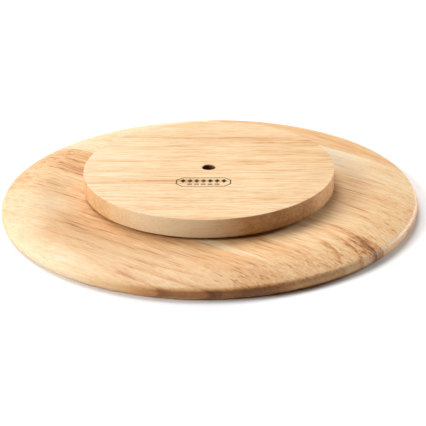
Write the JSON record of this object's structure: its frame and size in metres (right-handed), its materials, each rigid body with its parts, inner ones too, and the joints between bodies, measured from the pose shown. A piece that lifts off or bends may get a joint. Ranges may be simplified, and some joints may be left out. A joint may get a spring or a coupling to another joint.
{
  "type": "lazy susan turntable",
  "caption": "Round edge-glued wooden serving plate on a smaller round wooden base, turning on a caged ball race about a central pivot bolt; stored face down with its base on top.",
  "frame": {"origin": "centre of the plate's serving face, which is the lowest face as the part is stored, face down", "axes": "+Z along the turning axis, out of the base's resting face; X and Y are free, with the base's grain nearly along X"},
  "size_m": [0.4, 0.4, 0.04],
  "materials": {
    "wood_pink": "thin clear oil, satin",
    "wood_amber": "thin clear oil, satin",
    "wood_cream": "thin clear oil, satin",
    "wood_tan": "thin clear oil, satin",
    "wood_honey": "thin clear oil, satin",
    "race_steel": "pressed sheet, zinc plated",
    "fastener_steel": "zinc plated",
    "ball_steel": "polished",
    "insert_brass": "turned",
    "bush_nylon": "moulded nylon",
    "cage_plastic": "moulded"
  },
  "bodies": {
    "plate": {"plate_stave_1": "wood_pink", "plate_stave_2": "wood_pink", "plate_stave_3": "wood_amber", "plate_stave_4": "wood_amber", "plate_stave_5": "wood_cream", "plate_stave_6": "wood_cream", "plate_stave_7": "wood_tan", "plate_stave_8": "wood_tan", "plate_race_ring": "race_steel", "plate_race_screws": "fastener_steel", "threaded_insert": "insert_brass", "pivot_bolt": "fastener_steel", "pivot_washer": "fastener_steel"},
    "base": {"base_stave_1": "wood_tan", "base_stave_2": "wood_tan", "base_stave_3": "wood_honey", "base_stave_4": "wood_honey", "base_stave_5": "wood_cream", "base_race_ring": "race_steel", "base_race_screws": "fastener_steel", "pivot_bush": "bush_nylon"},
    "cage": {"ball_cage": "cage_plastic"},
    "ball_1": {"ball_1": "ball_steel"},
    "ball_2": {"ball_2": "ball_steel"},
    "ball_3": {"ball_3": "ball_steel"},
    "ball_4": {"ball_4": "ball_steel"},
    "ball_5": {"ball_5": "ball_steel"},
    "ball_6": {"ball_6": "ball_steel"},
    "ball_7": {"ball_7": "ball_steel"},
    "ball_8": {"ball_8": "ball_steel"},
    "ball_9": {"ball_9": "ball_steel"},
    "ball_10": {"ball_10": "ball_steel"},
    "ball_11": {"ball_11": "ball_steel"},
    "ball_12": {"ball_12": "ball_steel"}
  },
  "joints": [
    {"name": "turntable_spin", "type": "hinge", "parent": "plate", "child": "base", "pos_m": [0, 0, 0.022], "axis": [0, 0, 1], "continuous": true},
    {"name": "cage_spin", "type": "hinge", "parent": "plate", "child": "cage", "pos_m": [0, 0, 0.0205], "axis": [0, 0, 1], "continuous": true},
    {"name": "ball_1_roll", "type": "hinge", "parent": "cage", "child": "ball_1", "pos_m": [0.054, 0, 0.0205], "axis": [1, 0, 0], "continuous": true},
    {"name": "ball_2_roll", "type": "hinge", "parent": "cage", "child": "ball_2", "pos_m": [0.04677, 0.027, 0.0205], "axis": [0.866, 0.5, 0], "continuous": true},
    {"name": "ball_3_roll", "type": "hinge", "parent": "cage", "child": "ball_3", "pos_m": [0.027, 0.04677, 0.0205], "axis": [0.5, 0.866, 0], "continuous": true},
    {"name": "ball_4_roll", "type": "hinge", "parent": "cage", "child": "ball_4", "pos_m": [0, 0.054, 0.0205], "axis": [0, 1, 0], "continuous": true},
    {"name": "ball_5_roll", "type": "hinge", "parent": "cage", "child": "ball_5", "pos_m": [-0.027, 0.04677, 0.0205], "axis": [-0.5, 0.866, 0], "continuous": true},
    {"name": "ball_6_roll", "type": "hinge", "parent": "cage", "child": "ball_6", "pos_m": [-0.04677, 0.027, 0.0205], "axis": [-0.866, 0.5, 0], "continuous": true},
    {"name": "ball_7_roll", "type": "hinge", "parent": "cage", "child": "ball_7", "pos_m": [-0.054, 0, 0.0205], "axis": [-1, 0, 0], "continuous": true},
    {"name": "ball_8_roll", "type": "hinge", "parent": "cage", "child": "ball_8", "pos_m": [-0.04677, -0.027, 0.0205], "axis": [-0.866, -0.5, 0], "continuous": true},
    {"name": "ball_9_roll", "type": "hinge", "parent": "cage", "child": "ball_9", "pos_m": [-0.027, -0.04677, 0.0205], "axis": [-0.5, -0.866, 0], "continuous": true},
    {"name": "ball_10_roll", "type": "hinge", "parent": "cage", "child": "ball_10", "pos_m": [0, -0.054, 0.0205], "axis": [0, -1, 0], "continuous": true},
    {"name": "ball_11_roll", "type": "hinge", "parent": "cage", "child": "ball_11", "pos_m": [0.027, -0.04677, 0.0205], "axis": [0.5, -0.866, 0], "continuous": true},
    {"name": "ball_12_roll", "type": "hinge", "parent": "cage", "child": "ball_12", "pos_m": [0.04677, -0.027, 0.0205], "axis": [0.866, -0.5, 0], "continuous": true}
  ],
  "couplings": [
    {"joint": "cage_spin", "follows": "turntable_spin", "ratio": 0.5},
    {"joint": "ball_1_roll", "follows": "turntable_spin", "ratio": -9},
    {"joint": "ball_2_roll", "follows": "turntable_spin", "ratio": -9},
    {"joint": "ball_3_roll", "follows": "turntable_spin", "ratio": -9},
    {"joint": "ball_4_roll", "follows": "turntable_spin", "ratio": -9},
    {"joint": "ball_5_roll", "follows": "turntable_spin", "ratio": -9},
    {"joint": "ball_6_roll", "follows": "turntable_spin", "ratio": -9},
    {"joint": "ball_7_roll", "follows": "turntable_spin", "ratio": -9},
    {"joint": "ball_8_roll", "follows": "turntable_spin", "ratio": -9},
    {"joint": "ball_9_roll", "follows": "turntable_spin", "ratio": -9},
    {"joint": "ball_10_roll", "follows": "turntable_spin", "ratio": -9},
    {"joint": "ball_11_roll", "follows": "turntable_spin", "ratio": -9},
    {"joint": "ball_12_roll", "follows": "turntable_spin", "ratio": -9}
  ]
}
